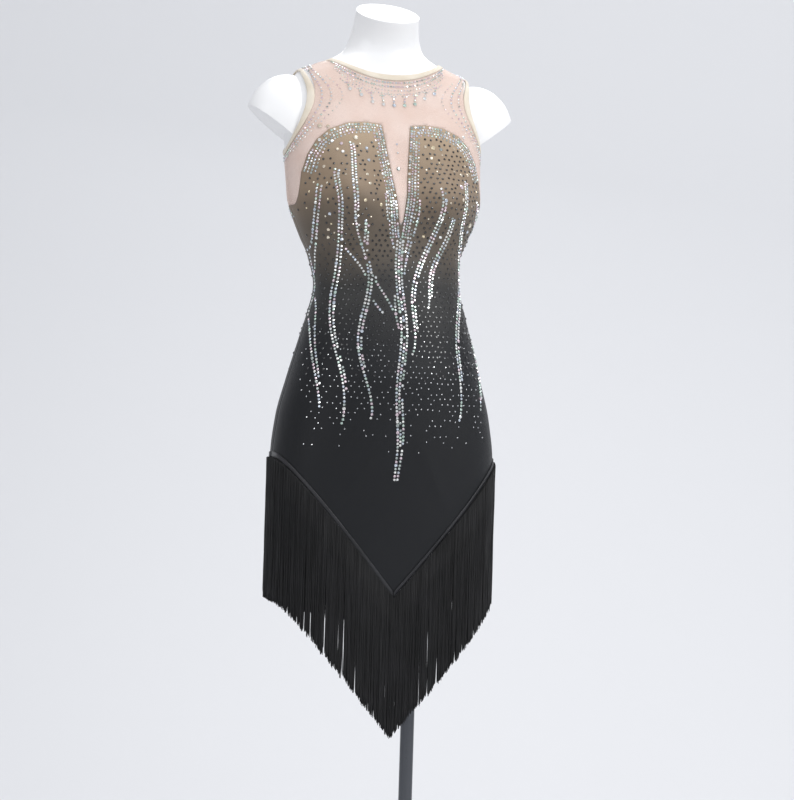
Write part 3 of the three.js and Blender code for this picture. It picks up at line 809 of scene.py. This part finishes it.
def layEdges():
    rows = ((3.2, "stream", 5.0), (7.6, "small", 4.4), (12.0, "stream", 5.6), (16.5, "small", 6.5))
    for side, edge in ((1, cupEdge[:8]), (-1, scoopEdge)):
        line = np.array(edge, float)
        fine = np.array([[np.interp(t, range(len(line)), line[:, axis]) for axis in (0, 1)]
                         for t in np.linspace(0, len(line) - 1, 90)])
        step = np.gradient(fine, axis=0)
        inward = np.stack([step[:, 1], -step[:, 0]], -1)
        inward /= np.linalg.norm(inward, axis=1, keepdims=True)
        for inset, size, gap in rows:
            moved = fine + inward * inset
            moved = moved[moved[:, 0] > 1]
            for sign in (1, -1):
                rowAlong([(sign * x, z) for x, z in moved], gap, "edge", side, size, "clear", big=0.05)


# Streams of stones: start x and z, end x and z, sway, bends, rows side by side.
streamsFront = [
    (0, 1086, -8, 702, 4, 2.0, 3), (-26, 1215, -3, 930, 7, 1.4, 2), (24, 1200, 2, 925, 8, 1.2, 2),
    (-76, 1235, -52, 800, 15, 1.7, 2), (-104, 1190, -96, 790, 9, 1.5, 2), (-128, 1165, -128, 812, 6, 1.3, 2),
    (-58, 1110, -8, 920, 12, 0.9, 2), (62, 1165, 12, 900, 12, 1.1, 2), (84, 1120, 44, 975, 7, 1.0, 2),
    (112, 1180, 98, 800, 8, 1.6, 2), (140, 1150, 142, 815, 5, 1.2, 2), (-88, 1070, -30, 965, 8, 0.8, 1),
]
streamsBack = [
    (0, 1005, 0, 770, 5, 1.8, 3), (-48, 1030, -40, 810, 8, 1.6, 2), (48, 1030, 40, 810, 8, 1.6, 2),
    (-96, 1080, -92, 830, 8, 1.5, 2), (96, 1080, 92, 830, 8, 1.5, 2),
]


def layStreams(streams, side):
    for x0, z0, x1, z1, sway, bends, rows in streams:
        length = z0 - z1
        phase = dice.uniform(0, 6.28)
        for row in range(rows):
            line = []
            for t in np.linspace(0, 1, 60):
                swing = sway * math.sin(phase + 6.28 * bends * t) * math.sin(math.pi * t) ** 0.5
                x = x0 + (x1 - x0) * t + swing
                thin = 1.0 if t < 0.8 else 1.0 - 0.5 * (t - 0.8) / 0.2
                line.append((x + (row - (rows - 1) / 2) * 4.7 * thin, z0 - length * t - 2.4 * (row % 2)))
            rowAlong(line, 5.7, "crystal", side, "stream", "clear", big=0.1)


def layBig():
    for _ in range(90):
        x, z = dice.uniform(-130, 130), dice.uniform(1060, 1262)
        if abs(x) > 26:
            tint = dice.choice(("clear", "gold", "gold"))
            place("crystal", x, z, 1, dice.choice(("big", "wide", "wide")), tint, spread=3.2)
    for z in (1236, 1222, 1196):
        place("crystal", dice.uniform(-1.5, 1.5), z, 1, "small" if z != 1196 else "drop", "clear")


def layField(side, low, high, gap, group, size, tint, keep, inside):
    row = 0
    z = low
    while z < high:
        x = -150.0 + (gap / 2 if row % 2 else 0)
        while x < 150:
            px, pz = x + dice.uniform(-1.4, 1.4), z + dice.uniform(-1.4, 1.4)
            width = float(sectionAt(np.array(pz))[0])
            ok = abs(px) < width * 0.985 and dice.random() < keep(px, pz)
            if ok and insideOutline(inside, np.array(px), np.array(pz)) > 4:
                place(group, px, pz, side, size, tint, spread=2.5)
            x += gap
        z += gap * 0.82
        row += 1


def layFields():
    def jetKeep(x, z):
        fade = min(max((z - 855) / 70, 0), 1)
        return fade * (0.95 if x > 20 or z < 1090 else 0.5)

    def dustKeep(x, z):
        return max(0.0, 1 - abs(z - 860) / 120) * 0.9

    for side, outline in ((1, frontBodyOutline), (-1, backBodyOutline)):
        layField(side, 860, 1262, 9.6, "jet", "jet", "jet", jetKeep, outline)
        layField(side, 740, 985, 10.2, "dust", "tiny", "silver", dustKeep, outline)
    layField(1, 1090, 1258, 16.0, "crystal", "small", "gold", lambda x, z: 0.5, frontBodyOutline)


def stoneMesh(name, items, finish):
    sides = 8
    rings = ((1.0, 0.0), (1.0, 0.16), (0.56, 0.62))
    points, faces, colors = [], [], []
    angles = np.array([item[0] for item in items])
    levels = np.array([item[1] for item in items], float)
    seats = lifted(angles, levels, np.full(len(items), 0.15))
    ups = skinNormal(angles, levels)
    for seat, up, (_, _, radius, color) in zip(seats, ups, items):
        across = np.cross([0, 0, 1.0], up)
        across /= np.linalg.norm(across)
        upright = np.cross(up, across)
        spin = dice.uniform(0, 0.8)
        lean = (dice.uniform(-0.09, 0.09), dice.uniform(-0.09, 0.09))
        base = len(points)
        for wide, high in rings:
            for k in range(sides):
                turn = spin + 2 * math.pi * k / sides
                u, v = wide * math.cos(turn), wide * math.sin(turn)
                rise = high + (u * lean[0] + v * lean[1] if high > 0.3 else 0)
                points.append(seat + radius * (across * u + upright * v + up * rise))
        for ring in range(len(rings) - 1):
            for k in range(sides):
                a, b = base + ring * sides + k, base + ring * sides + (k + 1) % sides
                faces.append((a, b, b + sides, a + sides))
        faces.append([base + k for k in reversed(range(sides))])
        faces.append([base + 2 * sides + k for k in range(sides)])
        colors += [(*color, 1.0)] * (sides * 3)
    piece = meshObject(name, points, faces, smooth=False)
    layer = piece.data.color_attributes.new("tint", 'FLOAT_COLOR', 'POINT')
    layer.data.foreach_set("color", np.array(colors).ravel())
    finishPiece(piece, finishes[finish], "crystal")


def buildStones():
    layGarland(1)
    layGarland(-1)
    layArmholes()
    layEdges()
    layStreams(streamsFront, 1)
    layStreams(streamsBack, -1)
    layBig()
    layFields()
    for group, finish in (("crystal", "crystal"), ("edge", "crystal"), ("jet", "jet"), ("dust", "crystal")):
        stoneMesh("stones_" + group, stones[group], finish)
        print("stones", group, len(stones[group]))


# ---- room: a seamless pale sweep and soft light ----
def buildRoom():
    backdrop, _, _ = newMaterial("paleSweep", Base_Color=(0.76, 0.765, 0.78, 1), Roughness=0.9)
    turn = math.radians(view["turn"])
    arc = [(-6.0, 0.0), (1.2, 0.0)] + [(1.2 + 1.2 * math.sin(t), 1.2 - 1.2 * math.cos(t))
                                      for t in np.linspace(0.1, math.pi / 2, 14)] + [(2.4, 7.0)]
    points, faces = [], []
    for away, up in arc:
        for aside in (-8.0, 8.0):
            points.append((aside * math.cos(turn) - away * math.sin(turn),
                           aside * math.sin(turn) + away * math.cos(turn), up))
    for k in range(len(arc) - 1):
        faces.append((2 * k, 2 * k + 1, 2 * k + 3, 2 * k + 2))
    mesh = bpy.data.meshes.new("sweep")
    mesh.from_pydata(points, [], faces)
    mesh.polygons.foreach_set("use_smooth", [True] * len(mesh.polygons))
    sweep = bpy.data.objects.new("sweep", mesh)
    bpy.context.collection.objects.link(sweep)
    mesh.materials.append(backdrop)
    world = bpy.data.worlds.new("room")
    world.use_nodes = True
    world.node_tree.nodes['Background'].inputs[0].default_value = (0.93, 0.95, 1.0, 1)
    world.node_tree.nodes['Background'].inputs[1].default_value = 0.62
    bpy.context.scene.world = world
    lamps = [("key", (2.2, -2.6, 2.6), 1.8, 62), ("fill", (-2.6, -2.4, 1.9), 2.2, 16),
             ("top", (0.0, -0.4, 3.4), 2.0, 26), ("back", (0.6, 1.3, 2.4), 1.6, 14)]
    for name, spot, size, power in lamps:
        data = bpy.data.lights.new(name, 'AREA')
        data.energy = power
        data.size = size
        lamp = bpy.data.objects.new(name, data)
        lamp.location = spot
        lamp.rotation_euler = (Vector((0, 0, 1.0)) - Vector(spot)).to_track_quat('-Z', 'Y').to_euler()
        bpy.context.collection.objects.link(lamp)
    bpy.context.scene.view_settings.view_transform = 'Standard'


buildForm()
print("form")
buildPanels()
buildNeckBinding()
buildArmholeBindings()
buildKeyholeBinding()
print("panels and bindings")
for side, half in ((1, "front"), (-1, "back")):
    for sign, suffix in ((1, "left"), (-1, "right")):
        buildHeader(half + "_header_" + suffix, side, sign)
        buildFringe(half + "_fringe_" + suffix, side, sign)
print("fringe")
buildStones()
buildRoom()


def dressNodes():
    looks = {"pole": "pole", "form_flange": "pole", "base_hub": "base", "base_plate": "base",
             "neck_button": "binding"}
    for node, look in looks.items():
        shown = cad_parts[node]
        piece = shown if isinstance(shown, bpy.types.Object) else bpy.data.objects[node]
        piece.data.materials.clear()
        piece.data.materials.append(finishes[look])


dressNodes()
print("stand")
